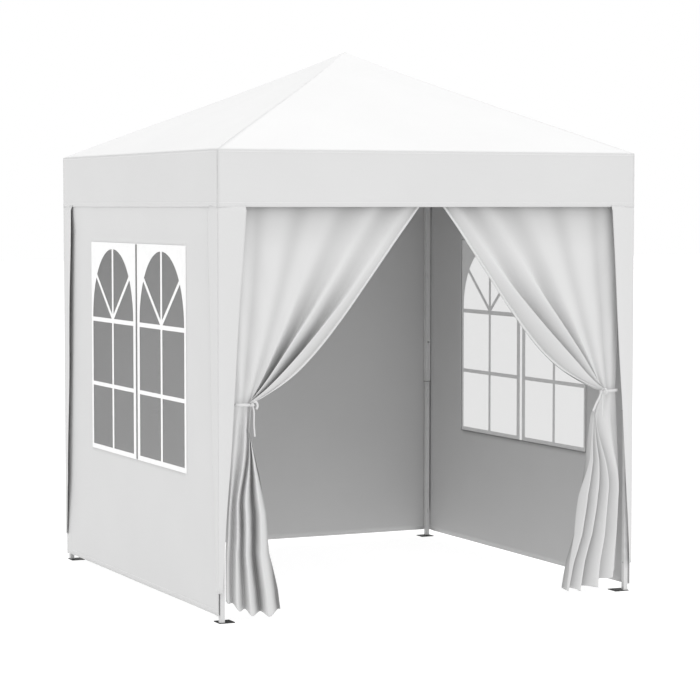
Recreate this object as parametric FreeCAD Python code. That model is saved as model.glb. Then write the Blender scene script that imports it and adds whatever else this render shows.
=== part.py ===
import FreeCAD, Part

import math
import os

# Pop-up gazebo, 2 m square: folding steel frame, peaked canopy with valance, three walls, two curtains.
#
# Millimetres. +Z is up, the floor is z = 0 and the origin is the middle of the floor under the peak.
# The door side faces -Y. Side 0 is the front; sides 1, 2 and 3 are its copies turned by 90 degrees each.
# Corner 0 is at the front left, at the left end of side 0, and the other corners follow the same way round.

# Canopy and walls
canopy_width = 2000.0
eave_height = 1963.0
roof_rise = 481.0
valance_drop = 237.0
cloth = 0.8
wall_floor_gap = 30.0
wall_edge_gap = 6.0
wall_valance_gap = 2.4
wall_top_overlap = 40.0
gore_seam_gap = 1.5
cover_top_width = 125.0
cover_foot_width = 14.0
cover_foot_height = 128.0
valance_seam_gap = 1.0

# Legs
outer_tube = 25.0
tube_wall = 1.0
tube_fit = 1.5
leg_to_cloth = 9.5
outer_tube_end = 814.0
tube_overlap = 146.0
leg_top_margin = 9.0
retract_travel = 740.0
height_step = 50.0
height_steps = 3

# Feet
foot_size = 70.0
foot_plate = 3.0
foot_outer_lip = 15.0
peg_hole_r = 5.0
peg_hole_inset = 15.0
spigot_clearance = 0.4
spigot_height = 18.0

cut_margin = 1.0  # how far a cutting tool runs past the face that it opens
edge_band = 0.1  # edges nearer than this to a face count as lying on it

# Folding truss: every bar has the same length between its end pivots and the same slope
truss_drop = 180.0
truss_top_margin = 23.0
fold_angle = 75.0
bar_height = 20.0
bar_thickness = 10.0
bar_wall = 0.7
bar_gap = 0.6
pivot_reach = 52.0
pin_r = 4.0
pin_clearance = 0.05
rivet_head_r = 7.0
rivet_head = 1.4
rivet_play = 0.3

# Middle connectors and hub
cheek = 2.0
cheek_play = 0.5
connector_half_width = 14.0
connector_bridge_gap = 2.0
arm_reach = 25.0
ear = 3.0
ear_play = 0.5
hub_core_half = 14.0
hub_floor = 4.0

# Mast
mast_d = 22.0
mast_wall = 1.2
mast_cap_r = 14.0
mast_cap_height = 16.0
peak_play = 44.0
mast_seat = 12.0
mast_cap_round = 9.8
ear_root = 1.0

# Corner bracket and slider
bracket_wall = 2.5
bracket_below = 20.0
arm_plane_gap = 0.2
arm_block = 8.8
slider_play = 0.4
slider_wall = 3.5
slider_below = 22.0
slider_above = 30.0

# Buttons
button_play = 0.3
latch_r = 5.0
latch_lift = 20.0
latch_boss_r = 9.5
latch_boss = 8.0
latch_flange_r = 6.6
latch_flange = 1.2
latch_proud = 4.6
latch_travel = 3.4
latch_rim = 2.0
latch_crown = 1.75
leg_button_r = 3.5
leg_button_height = 54.0
leg_button_proud = 3.4
leg_button_crown = 1.75
spare_hole_step = 47.0

# Door curtains, tied back to the front legs: a thin sheet with a thicker gathered bundle at the tie
curtain_thick = 3.0
curtain_tuck = 2.0
curtain_bottom = 15.0
curtain_to_tube = 9.5
curtain_door_gap = 41.0
curtain_middle_gap = 21.0
tie_height = 912.0
tie_neck = 88.0
bundle_depth = 40.0
bundle_height = 120.0
bundle_round = 12.0
curtain_foot_reach = 290.0
swag_across = 0.335
swag_up = 0.46

# Places worked out from the sizes above
half = canopy_width / 2
peak_height = eave_height + roof_rise
leg_at = half - outer_tube / 2 - leg_to_cloth
inner_tube = outer_tube - 2 * (tube_wall + tube_fit)
pivot_z = eave_height - truss_top_margin
pivot_at = leg_at - pivot_reach
bar_length = math.hypot(pivot_at, truss_drop)
rest_slope = math.degrees(math.atan2(truss_drop, pivot_at))
low_pivot_z = pivot_z - truss_drop
plane_step = (bar_thickness + bar_gap) / 2
bar_end_r = bar_height / 2
hub_reach = pivot_reach - arm_reach
fold_drop = bar_length * (
    math.sin(math.radians(rest_slope + fold_angle)) - math.sin(math.radians(rest_slope))
)
leg_top = eave_height - leg_top_margin
leg_button_z = outer_tube_end + leg_button_height
latch_z = low_pivot_z + latch_lift
curtain_top = eave_height - valance_drop + curtain_tuck

SIDES = ("front", "right", "back", "left")
CORNERS = ("front_left", "front_right", "back_right", "back_left")
Y_AXIS = FreeCAD.Vector(0, 1, 0)
Z_AXIS = FreeCAD.Vector(0, 0, 1)


def block(low, high):
    """A box between two opposite corners."""
    size = [high[i] - low[i] for i in range(3)]
    return Part.makeBox(size[0], size[1], size[2], FreeCAD.Vector(*low))


def rod(radius, start, end):
    """A round bar from one point to another."""
    run = FreeCAD.Vector(*end) - FreeCAD.Vector(*start)
    return Part.makeCylinder(radius, run.Length, FreeCAD.Vector(*start), run)


def turned(shape, quarter):
    """A copy of a front-side shape, turned to another side or corner."""
    copy = shape.copy()
    copy.rotate(FreeCAD.Vector(0, 0, 0), Z_AXIS, 90 * quarter)
    return copy


def slab(points, normal_run):
    """A flat sheet: a closed outline pushed along a vector."""
    corners = [FreeCAD.Vector(*p) for p in points]
    face = Part.Face(Part.makePolygon(corners + corners[:1]))
    return face.extrude(FreeCAD.Vector(*normal_run))


def square_tube(centre, size, wall, low_z, high_z):
    """A square tube standing upright."""
    x, y = centre
    out = size / 2
    bore = out - wall
    body = block((x - out, y - out, low_z), (x + out, y + out, high_z))
    low = (x - bore, y - bore, low_z - cut_margin)
    high = (x + bore, y + bore, high_z + cut_margin)
    return body.cut(block(low, high))


# ---------------------------------------------------------------- truss bars
def plain_bar(pivot_holes):
    """A thin-walled bar along +X from its first end pivot at the origin, with round ends."""
    t = bar_thickness / 2
    r = bar_end_r
    body = block((0, -t, -r), (bar_length, t, r))
    body = body.fuse(rod(r, (0, -t, 0), (0, t, 0)))
    body = body.fuse(rod(r, (bar_length, -t, 0), (bar_length, t, 0)))
    hollow_y = t - bar_wall
    hollow_z = r - bar_wall
    body = body.cut(block((-2 * r, -hollow_y, -hollow_z), (bar_length + 2 * r, hollow_y, hollow_z)))
    for x in pivot_holes:
        body = body.cut(rod(pin_r + pin_clearance, (x, -2 * t, 0), (x, 2 * t, 0)))
    return body.removeSplitter()


def rivet(x, y_from, y_to):
    """A headed pin across two bars; y_from is in its own bar, y_to is past the outer face of the next."""
    step = 1 if y_to > y_from else -1
    pin = rod(pin_r, (x, y_from, 0), (x, y_to, 0))
    return pin.fuse(rod(rivet_head_r, (x, y_to, 0), (x, y_to + step * rivet_head, 0)))


def far_face(direction):
    """How far a rivet reaches from its own bar's middle plane before its head starts."""
    return direction * (bar_thickness * 1.5 + bar_gap + rivet_play)


def laid(shape, start, slope, side_y):
    """Moves a bar so that it starts at a pivot (x, z) and slopes down to +X, or up if slope is negative."""
    copy = shape.copy()
    copy.rotate(FreeCAD.Vector(0, 0, 0), Y_AXIS, slope)
    copy.translate(FreeCAD.Vector(start[0], side_y, start[1]))
    return copy


def truss_bars():
    """The four bars of the front: 'down' from the top connector to a slider, 'up' from the low bolt."""
    inner = -leg_at + plane_step
    outer = -leg_at - plane_step
    ends = (0, bar_length)
    middle = bar_length / 2
    half_bar = bar_thickness / 2
    # a down bar carries the scissor's rivet at its middle, towards the plane of the up bar
    down_out = plain_bar(ends).fuse(rivet(middle, -half_bar, far_face(1)))
    down_in = plain_bar(ends).fuse(rivet(middle, half_bar, far_face(-1)))
    # one up bar carries the low bolt that its partner on the other half hangs on
    up_bolted = plain_bar((middle, bar_length)).fuse(rivet(0, half_bar, far_face(-1)))
    up_plain = plain_bar((0, middle, bar_length))
    rise = rest_slope
    return {
        "left_down": laid(down_out, (0, pivot_z), 180 - rise, outer),
        "left_up": laid(up_bolted, (0, low_pivot_z), 180 + rise, inner),
        "right_down": laid(down_in, (0, pivot_z), rise, inner),
        "right_up": laid(up_plain, (0, low_pivot_z), -rise, outer),
    }


def hub_arm():
    """The bar from the front connector in to the hub."""
    arm = plain_bar((0, bar_length))
    arm = laid(arm, (0, 0), rest_slope, 0)
    arm.rotate(FreeCAD.Vector(0, 0, 0), Z_AXIS, 90)
    arm.translate(FreeCAD.Vector(0, -leg_at + arm_reach, pivot_z))
    return arm


# ---------------------------------------------------------------- connectors
def ear_pair(root_y, pivot_y, z):
    """Two ears with a pin across them, for the end of an arm in the plane x = 0."""
    inside = bar_thickness / 2 + ear_play
    outside = inside + ear
    low_y = min(root_y, pivot_y)
    high_y = max(root_y, pivot_y)
    body = rod(pin_r, (-outside, pivot_y, z), (outside, pivot_y, z))
    for side in (-1, 1):
        x0 = min(side * inside, side * outside)
        x1 = max(side * inside, side * outside)
        body = body.fuse(block((x0, low_y, z - bar_end_r), (x1, high_y, z + bar_end_r)))
        body = body.fuse(rod(bar_end_r, (x0, pivot_y, z), (x1, pivot_y, z)))
    return body


def mid_connector():
    """The clip at the top middle of a side: two truss bars on one bolt, and the hub's arm inside."""
    bars_out = plane_step + bar_thickness / 2
    face_in = -leg_at + bars_out + cheek_play
    face_out = -leg_at - bars_out - cheek_play
    w = connector_half_width
    low = pivot_z - bar_end_r
    bridge = pivot_z + bar_end_r + connector_bridge_gap
    high = bridge + cheek
    body = block((-w, face_in, low), (w, face_in + cheek, high))
    body = body.fuse(block((-w, face_out - cheek, low), (w, face_out, high)))
    body = body.fuse(block((-w, face_out - cheek, bridge), (w, face_in + cheek, high)))
    body = body.fuse(rod(pin_r, (0, face_out - cheek, pivot_z), (0, face_in + cheek, pivot_z)))
    body = body.fuse(ear_pair(face_in + cheek / 2, -leg_at + arm_reach, pivot_z))
    return body.removeSplitter()


def central_hub():
    """The block at the foot of the mast, with ears for the four arms."""
    c = hub_core_half
    body = block((-c, -c, low_pivot_z - bar_end_r - hub_floor), (c, c, low_pivot_z + bar_end_r))
    for quarter in range(4):
        body = body.fuse(turned(ear_pair(-c + ear_root, -hub_reach, low_pivot_z), quarter))
    bore = rod(mast_d / 2, (0, 0, low_pivot_z - mast_seat / 2), (0, 0, peak_height))
    return body.cut(bore).removeSplitter()


def mast():
    """The centre pole that lifts the peak, with a rounded cap under the cloth."""
    foot = low_pivot_z - mast_seat / 2
    top = peak_height - peak_play
    cap_foot = top - mast_cap_height
    tube = rod(mast_d / 2, (0, 0, foot), (0, 0, cap_foot))
    bore = rod(mast_d / 2 - mast_wall, (0, 0, foot - cut_margin), (0, 0, cap_foot - mast_wall))
    cap = Part.makeCylinder(mast_cap_r, mast_cap_height, FreeCAD.Vector(0, 0, cap_foot))
    rim = [e for e in cap.Edges if e.BoundBox.ZMin > top - edge_band]
    cap = cap.makeFillet(mast_cap_round, rim)
    return tube.cut(bore).fuse(cap).removeSplitter()


# ---------------------------------------------------------------- corner pieces, front left
def arm_block_at(along_x, plane_sign, root, z):
    """A solid lug from a corner sleeve to a truss pivot, with the pin for the bar beside it.

    plane_sign is +1 where the lug lies on the inner side of the leg's middle and -1 on the outer side.
    """
    near = -leg_at + plane_sign * arm_plane_gap
    far = -leg_at + plane_sign * (arm_plane_gap + arm_block)
    low = min(near, far)
    high = max(near, far)
    tip = -pivot_at
    body = block((root, low, z - bar_end_r), (tip, high, z + bar_end_r))
    body = body.fuse(rod(bar_end_r, (tip, low, z), (tip, high, z)))
    end = -leg_at - plane_sign * (plane_step + bar_thickness / 2 + rivet_play)
    body = body.fuse(rod(pin_r, (tip, far, z), (tip, end, z)))
    head_end = end - plane_sign * rivet_head
    body = body.fuse(rod(rivet_head_r, (tip, end, z), (tip, head_end, z)))
    if along_x:
        return body
    # the same lug on the other face: mirrored across the corner's diagonal
    return body.mirror(FreeCAD.Vector(0, 0, 0), FreeCAD.Vector(1, -1, 0).normalize())


def outer_leg():
    """The upper leg tube with its corner bracket and the holes for the buttons."""
    centre = (-leg_at, -leg_at)
    body = square_tube(centre, outer_tube, tube_wall, outer_tube_end, leg_top - bracket_wall)
    out = outer_tube / 2 + bracket_wall
    low = pivot_z - bracket_below
    sleeve = block((-leg_at - out, -leg_at - out, low), (-leg_at + out, -leg_at + out, leg_top))
    inside = outer_tube / 2
    sleeve = sleeve.cut(
        block(
            (-leg_at - inside, -leg_at - inside, low - cut_margin),
            (-leg_at + inside, -leg_at + inside, leg_top - bracket_wall),
        )
    )
    body = body.fuse(sleeve)
    root = -leg_at + outer_tube / 2 + bracket_wall / 2
    body = body.fuse(arm_block_at(True, -1, root, pivot_z))
    body = body.fuse(arm_block_at(False, 1, root, pivot_z))
    face_in = -leg_at + outer_tube / 2 - 2 * tube_wall
    face_out = -leg_at + outer_tube / 2 + cut_margin
    hole_r = leg_button_r + button_play
    for z in (leg_button_z, leg_button_z + spare_hole_step):
        body = body.cut(rod(hole_r, (-leg_at, face_in, z), (-leg_at, face_out, z)))
    for z in (latch_z, latch_z - fold_drop):
        body = body.cut(rod(latch_r + button_play, (-leg_at, face_in, z), (-leg_at, face_out, z)))
    return body.removeSplitter()


def inner_leg():
    """The lower leg tube, with its row of height holes and the one that locks it pushed in."""
    body = square_tube(
        (-leg_at, -leg_at), inner_tube, tube_wall, foot_plate, outer_tube_end + tube_overlap
    )
    heights = [leg_button_z - height_step * i for i in range(height_steps + 1)]
    heights.append(leg_button_z - retract_travel)
    face_in = -leg_at + inner_tube / 2 - 2 * tube_wall
    for z in heights:
        hole = rod(leg_button_r + button_play, (-leg_at, face_in, z), (-leg_at, -leg_at + inner_tube, z))
        body = body.cut(hole)
    return body


def foot():
    """The square ground plate, with a spigot up the tube and a hole for a ground peg."""
    low = -leg_at - foot_outer_lip
    high = low + foot_size
    body = block((low, low, 0), (high, high, foot_plate))
    upright = [e for e in body.Edges if abs(e.BoundBox.ZLength - foot_plate) < edge_band]
    body = body.makeFillet(foot_plate, upright)
    s = inner_tube / 2 - tube_wall - spigot_clearance
    body = body.fuse(
        block((-leg_at - s, -leg_at - s, 0), (-leg_at + s, -leg_at + s, foot_plate + spigot_height))
    )
    peg = high - peg_hole_inset
    return body.cut(rod(peg_hole_r, (peg, peg, -cut_margin), (peg, peg, foot_plate + cut_margin)))


def slider():
    """The sleeve that runs on the upper leg and carries the low ends of two truss bars."""
    inside = outer_tube / 2 + slider_play
    out = inside + slider_wall
    low = low_pivot_z - slider_below
    high = low_pivot_z + slider_above
    body = block((-leg_at - out, -leg_at - out, low), (-leg_at + out, -leg_at + out, high))
    root = -leg_at + out - slider_wall / 2
    body = body.fuse(arm_block_at(True, 1, root, low_pivot_z))
    body = body.fuse(arm_block_at(False, -1, root, low_pivot_z))
    boss_end = -leg_at + out + latch_boss
    body = body.fuse(rod(latch_boss_r, (-leg_at, -leg_at, latch_z), (-leg_at, boss_end, latch_z)))
    body = body.cut(
        block(
            (-leg_at - inside, -leg_at - inside, low - cut_margin),
            (-leg_at + inside, -leg_at + inside, high + cut_margin),
        )
    )
    bore_end = boss_end + cut_margin
    start, end = latch_pocket()
    body = body.cut(rod(latch_r + button_play, (-leg_at, -leg_at, latch_z), (-leg_at, bore_end, latch_z)))
    chamber = rod(latch_flange_r + button_play, (-leg_at, start, latch_z), (-leg_at, end, latch_z))
    body = body.cut(chamber)
    return body.removeSplitter()


def latch_pocket():
    """Where the slider's chamber for the latch flange starts and ends, along Y."""
    boss_end = -leg_at + outer_tube / 2 + slider_play + slider_wall + latch_boss
    end = boss_end - latch_rim
    return (end - latch_flange - latch_travel - button_play, end)


def slider_latch():
    """The round thumb button in the slider's boss; pressing it frees the slider from the leg."""
    pocket_end = latch_pocket()[1]
    boss_end = pocket_end + latch_rim
    nose = -leg_at + outer_tube / 2 + button_play + latch_travel
    body = rod(latch_r, (-leg_at, nose, latch_z), (-leg_at, boss_end + latch_proud, latch_z))
    crown = [e for e in body.Edges if e.BoundBox.YMin > boss_end + latch_proud - edge_band]
    body = body.makeFillet(latch_crown, crown)
    flange_end = pocket_end - button_play
    flange_start = flange_end - latch_flange
    flange = rod(latch_flange_r, (-leg_at, flange_start, latch_z), (-leg_at, flange_end, latch_z))
    return body.fuse(flange).removeSplitter()


def leg_button():
    """The small snap button through the upper leg, just outside the lower leg's face."""
    start = -leg_at + inner_tube / 2 + button_play
    end = -leg_at + outer_tube / 2 + leg_button_proud
    body = rod(leg_button_r, (-leg_at, start, leg_button_z), (-leg_at, end, leg_button_z))
    crown = [e for e in body.Edges if e.BoundBox.YMin > end - edge_band]
    return body.makeFillet(leg_button_crown, crown)


# ---------------------------------------------------------------- cloth
def roof_gore():
    """The front quarter of the peaked roof: one flat triangle of cloth, clear of its neighbours."""
    eave = half - gore_seam_gap
    slope = math.atan2(roof_rise, half)
    inward = gore_seam_gap * 2
    points = (
        (-eave + inward, -eave, eave_height),
        (eave - inward, -eave, eave_height),
        (inward / 2, -inward, peak_height - roof_rise * inward / half),
        (-inward / 2, -inward, peak_height - roof_rise * inward / half),
    )
    return slab(points, (0, cloth * math.sin(slope), -cloth * math.cos(slope)))


def valance():
    """The band round the eaves, with the tapered leg cover that hangs from each of its corners."""
    low = eave_height - valance_drop
    top = eave_height - valance_seam_gap
    wide = half - cover_top_width
    tip = half - cover_foot_width
    points = (
        (-half, -half, top),
        (half, -half, top),
        (half, -half, cover_foot_height),
        (tip, -half, cover_foot_height),
        (wide, -half, low),
        (-wide, -half, low),
        (-tip, -half, cover_foot_height),
        (-half, -half, cover_foot_height),
    )
    body = None
    for quarter in range(4):
        side = turned(slab(points, (0, cloth, 0)), quarter)
        body = side if body is None else body.fuse(side)
    return body.removeSplitter()


def wall():
    """One wall panel, drawn at the front: a flat sheet between the legs and the valance."""
    out = half - cloth - wall_valance_gap
    edge = out - wall_edge_gap
    top = eave_height - valance_drop + wall_top_overlap
    return block((-edge, -out, wall_floor_gap), (edge, -out + cloth, top))


def curtain(hand):
    """One door curtain, hand -1 at the left leg: drawn to its tie above, flared below it."""
    leg_side = leg_at - outer_tube / 2 - curtain_to_tube
    middle = -(half - cloth - curtain_middle_gap)
    front = middle - curtain_thick / 2
    neck = leg_side - tie_neck
    foot_in = leg_side - curtain_foot_reach

    def at(x, z):
        return FreeCAD.Vector(hand * x, front, z)

    swag_middle = at(
        neck - swag_across * (neck - curtain_door_gap), tie_height + swag_up * (curtain_top - tie_height)
    )
    edges = [
        Part.LineSegment(at(leg_side, curtain_top), at(curtain_door_gap, curtain_top)).toShape(),
        Part.Arc(at(curtain_door_gap, curtain_top), swag_middle, at(neck, tie_height)).toShape(),
        Part.LineSegment(at(neck, tie_height), at(foot_in, curtain_bottom)).toShape(),
        Part.LineSegment(at(foot_in, curtain_bottom), at(leg_side, curtain_bottom)).toShape(),
        Part.LineSegment(at(leg_side, curtain_bottom), at(leg_side, curtain_top)).toShape(),
    ]
    body = Part.Face(Part.Wire(edges)).extrude(FreeCAD.Vector(0, curtain_thick, 0))
    inner_x = min(hand * leg_side, hand * neck)
    outer_x = max(hand * leg_side, hand * neck)
    bundle = block(
        (inner_x, middle - bundle_depth / 2, tie_height - bundle_height / 2),
        (outer_x, middle + bundle_depth / 2, tie_height + bundle_height / 2),
    )
    upright = [e for e in bundle.Edges if e.BoundBox.ZLength > bundle_height / 2]
    return body.fuse(bundle.makeFillet(bundle_round, upright)).removeSplitter()


# ---------------------------------------------------------------- all nodes
def build():
    """Every node by name: the front's shapes, turned to each side and corner, and the single pieces."""
    nodes = {}
    bars = truss_bars()
    for k in range(4):
        side = SIDES[k]
        corner = CORNERS[k]
        for place in bars:
            nodes["truss_" + side + "_" + place] = turned(bars[place], k)
        nodes["arm_" + side] = turned(hub_arm(), k)
        nodes["connector_" + side] = turned(mid_connector(), k)
        nodes["roof_" + side] = turned(roof_gore(), k)
        nodes["upper_leg_" + corner] = turned(outer_leg(), k)
        nodes["lower_leg_" + corner] = turned(inner_leg(), k)
        nodes["foot_" + corner] = turned(foot(), k)
        nodes["slider_" + corner] = turned(slider(), k)
        nodes["slider_latch_" + corner] = turned(slider_latch(), k)
        nodes["leg_button_" + corner] = turned(leg_button(), k)
        if k > 0:
            nodes["wall_" + side] = turned(wall(), k)
    nodes["central_hub"] = central_hub()
    nodes["mast"] = mast()
    nodes["valance"] = valance()
    nodes["curtain_left"] = curtain(-1)
    nodes["curtain_right"] = curtain(1)
    return nodes


os.makedirs("parts", exist_ok=True)
made = build()
for name in made:
    made[name].exportStep(os.path.join("parts", name + ".step"))
print(len(made), "nodes; bar", round(bar_length, 2), "mm; slope", round(rest_slope, 3), "degrees")
print("fold drop", round(fold_drop, 2), "mm; low pivots at", low_pivot_z, "; pivots out at", pivot_at)
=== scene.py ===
# %% [markdown]
# # Pop-up gazebo, 2 m square
# The folding steel frame, its feet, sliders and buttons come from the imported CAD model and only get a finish
# here. Everything made of cloth is built in this file: the peaked roof, the valance, the leg covers, three
# walls (two with printed windows) and two tied-back door curtains. All lengths are metres, +Z is up, and
# the door faces -Y.

import math

import bmesh
import bpy
import numpy as np
from mathutils import Matrix, Vector


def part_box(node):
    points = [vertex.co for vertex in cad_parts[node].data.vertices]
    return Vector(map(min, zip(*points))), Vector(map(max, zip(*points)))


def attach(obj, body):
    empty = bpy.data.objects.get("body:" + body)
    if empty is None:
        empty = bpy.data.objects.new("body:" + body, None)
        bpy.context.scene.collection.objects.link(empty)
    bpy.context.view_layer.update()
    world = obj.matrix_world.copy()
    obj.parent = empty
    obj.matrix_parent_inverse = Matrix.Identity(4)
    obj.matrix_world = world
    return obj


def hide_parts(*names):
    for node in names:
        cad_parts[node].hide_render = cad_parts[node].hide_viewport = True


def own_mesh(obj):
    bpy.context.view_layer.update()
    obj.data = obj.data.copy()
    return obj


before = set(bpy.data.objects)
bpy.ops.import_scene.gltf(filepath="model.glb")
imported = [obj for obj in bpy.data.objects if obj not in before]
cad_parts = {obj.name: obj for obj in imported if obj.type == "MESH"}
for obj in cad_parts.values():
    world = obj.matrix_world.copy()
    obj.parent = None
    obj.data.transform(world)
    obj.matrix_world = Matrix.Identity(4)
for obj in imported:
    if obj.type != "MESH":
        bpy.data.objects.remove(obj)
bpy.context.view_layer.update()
SIDES = ("front", "right", "back", "left")
CORNERS = ("front_left", "front_right", "back_right", "back_left")
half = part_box("valance")[1].x
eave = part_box("valance")[1].z
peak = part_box("roof_front")[1].z
print("half width", round(half, 4), "eave", round(eave, 4), "peak", round(peak, 4))

# %% [markdown]
# ## Camera
# A long lens from the front left corner, a little below the eave, so the valance's bottom edge is seen
# almost level and the roof from slightly below its slope. A long lens keeps the upright legs upright.

# %% Camera
camera_data = bpy.data.cameras.new("camera")
camera_data.lens = 119.8
camera_data.sensor_width = 36.0
camera = bpy.data.objects.new("camera", camera_data)
camera.location = (-4.578, -9.875, 1.728)
camera.rotation_euler = (math.radians(86.47), 0.0, math.radians(-25.21))
bpy.context.scene.collection.objects.link(camera)
bpy.context.scene.camera = camera
print("camera at", tuple(camera.location))

# %% [markdown]
# ## Light and floor
# White cloth in a white room: an even white surround gives every face its own cloth tone, and one wide soft
# sun from above the front right makes the roof the brightest part. The floor is a pale sheet that gives off
# light of its own, which keeps it near white and makes the inside of the walls lightest near the ground.

# %% Light and floor
SUN_ENERGY = 0.95
SUN_SPREAD = math.radians(50)
SUN_FROM = (0.28, -0.18, 0.94)
FLOOR_REACH = 60.0
FLOOR_TONE = 0.3
FLOOR_GLOW = 0.88

scene = bpy.context.scene
scene.view_settings.view_transform = "Standard"
scene.view_settings.look = "None"
room = bpy.data.worlds.new("white_room")
room.use_nodes = True
room.node_tree.nodes["Background"].inputs["Color"].default_value = (1.0, 1.0, 1.0, 1.0)
room.node_tree.nodes["Background"].inputs["Strength"].default_value = 1.0
scene.world = room
sun_data = bpy.data.lights.new("soft_sun", "SUN")
sun_data.energy = SUN_ENERGY
sun_data.angle = SUN_SPREAD
sun = bpy.data.objects.new("soft_sun", sun_data)
sun.rotation_euler = Vector(SUN_FROM).to_track_quat("Z", "Y").to_euler()
scene.collection.objects.link(sun)

floor_corners = [(FLOOR_REACH * x, FLOOR_REACH * y, 0) for x, y in ((-1, -1), (1, -1), (1, 1), (-1, 1))]
floor_mesh = bpy.data.meshes.new("floor")
floor_mesh.from_pydata(floor_corners, [], [(0, 1, 2, 3)])
floor = bpy.data.objects.new("floor", floor_mesh)
scene.collection.objects.link(floor)
floor_paint = bpy.data.materials.new("pale_floor")
floor_paint.use_nodes = True
paint = floor_paint.node_tree.nodes["Principled BSDF"]
paint.inputs["Base Color"].default_value = (FLOOR_TONE, FLOOR_TONE, FLOOR_TONE, 1)
paint.inputs["Roughness"].default_value = 0.9
paint.inputs["Specular IOR Level"].default_value = 0.1
paint.inputs["Emission Color"].default_value = (1, 1, 1, 1)
paint.inputs["Emission Strength"].default_value = FLOOR_GLOW
floor_mesh.materials.append(floor_paint)

# %% [markdown]
# ## Finishes
# Each finish is a small node tree. A helper adds a node and wires it, so a finish reads as a list of what it
# is made of. Cloth reads its own UV map, which holds metres along the cloth, so the weave keeps its scale
# and turns with the sheet.

# %% Node helpers
def new_finish(name, colour, roughness, **sockets):
    """A material with its Principled shader set; further sockets are given by name with _ for spaces."""
    made = bpy.data.materials.new(name)
    made.use_nodes = True
    shader = made.node_tree.nodes["Principled BSDF"]
    shader.inputs["Base Color"].default_value = (*colour, 1)
    shader.inputs["Roughness"].default_value = roughness
    for socket, value in sockets.items():
        shader.inputs[socket.replace("_", " ")].default_value = value
    return made, made.node_tree, shader


def add_node(tree, kind, links=(), **settings):
    """One node, its settings, and links given as (input, output socket) pairs."""
    node = tree.nodes.new(kind)
    for key, value in settings.items():
        if hasattr(node, key):
            setattr(node, key, value)
        else:
            node.inputs[key.replace("_", " ")].default_value = value
    for socket, source in links:
        tree.links.new(source, node.inputs[socket])
    return node


def tone(tree, source, dark, light, low=0.3, high=0.7):
    """Turns a pattern's value into a colour between two tones."""
    ramp = add_node(tree, "ShaderNodeValToRGB", [("Fac", source)])
    ramp.color_ramp.elements[0].position = low
    ramp.color_ramp.elements[1].position = high
    ramp.color_ramp.elements[0].color = (*dark, 1)
    ramp.color_ramp.elements[1].color = (*light, 1)
    return ramp.outputs["Color"]


def raised(tree, shader, height, strength, distance, links=()):
    """Relief on a finish from a pattern's value."""
    inputs = [("Height", height), *links]
    bump = add_node(tree, "ShaderNodeBump", inputs, Strength=strength, Distance=distance)
    tree.links.new(bump.outputs["Normal"], shader.inputs["Normal"])


def grey(value):
    """A neutral tone."""
    return (value, value, value)


# %% [markdown]
# ### Cloth
# The canopy is coated polyester: a fine plain weave under a thin smooth coat, so it has a low sheen and
# shows soft creases where it was folded in its bag. Two wave textures crossed at right angles are its
# threads, a stretched noise is the creases, and a large noise shifts the tone by a percent or so.

# %% Cloth finishes
THREAD_PITCH = 0.0011
THREAD_SCALE = 1 / (THREAD_PITCH * 6.283 * 0.5)
THREAD_RELIEF = 0.0002
CREASE_RELIEF = 0.006
CREASE_TURN = (0, 0, math.radians(38))
CREASE_STRETCH = (1.0, 3.2, 1.0)
TONE_SHIFT = 0.012


def cloth_finish(name, value, roughness=0.62, weave=0.12, crease=0.25, crease_scale=5.0, sheen=0.05):
    """A woven, coated cloth; value is its lightness."""
    made, tree, shader = new_finish(name, grey(value), roughness, Sheen_Weight=sheen, Specular_IOR_Level=0.25)
    uv = add_node(tree, "ShaderNodeUVMap", uv_map="cloth").outputs["UV"]
    woven = add_node(tree, "ShaderNodeMath", operation="MULTIPLY")
    for slot, direction in enumerate(("X", "Y")):
        wave = add_node(tree, "ShaderNodeTexWave", [("Vector", uv)], Scale=THREAD_SCALE, Distortion=0.4)
        wave.bands_direction = direction
        tree.links.new(wave.outputs["Fac"], woven.inputs[slot])
    skew = add_node(tree, "ShaderNodeMapping", [("Vector", uv)], Rotation=CREASE_TURN, Scale=CREASE_STRETCH)
    creases = add_node(
        tree, "ShaderNodeTexNoise", [("Vector", skew.outputs["Vector"])],
        Scale=crease_scale, Detail=3.0, Distortion=0.8,
    )
    broad = add_node(tree, "ShaderNodeTexNoise", [("Vector", uv)], Scale=2.3)
    dark, light = grey(value * (1 - TONE_SHIFT)), grey(value * (1 + TONE_SHIFT))
    tree.links.new(tone(tree, broad.outputs["Fac"], dark, light), shader.inputs["Base Color"])
    fine = add_node(
        tree, "ShaderNodeBump", [("Height", woven.outputs[0])], Strength=weave, Distance=THREAD_RELIEF,
    )
    under = [("Normal", fine.outputs["Normal"])]
    raised(tree, shader, creases.outputs["Fac"], crease, CREASE_RELIEF, under)
    return made


roof_cloth = cloth_finish("roof_cloth", 0.745, crease=0.3, crease_scale=4.0)
valance_cloth = cloth_finish("valance_cloth", 0.635, crease=0.3, crease_scale=4.5)
wall_cloth = cloth_finish("wall_cloth", 0.63, crease=0.22, crease_scale=3.0)
# the inside faces of the cloth take this darker copy of it: painted shade for the inside of the tent
inner_shade_cloth = cloth_finish("painted_inner_shade", 0.50, roughness=0.5, crease=0.2, crease_scale=3.0)
curtain_cloth = cloth_finish("curtain_cloth", 0.675, roughness=0.7, crease=0.12, crease_scale=6.0, sheen=0.15)
ribbon_cloth = cloth_finish("ribbon_cloth", 0.66, roughness=0.55, weave=0.3, crease=0.05)

# %% [markdown]
# The curtains hang in folds, and the shade in them is painted: how deep in a fold each point lies, kept in a
# UV map of its own, darkens the cloth's colour, and so do a painted shadow under the valance and painted shade
# by the leg.

# %% Painted fold shade
DARKEST_PAINTED_FOLD = 0.22


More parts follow.
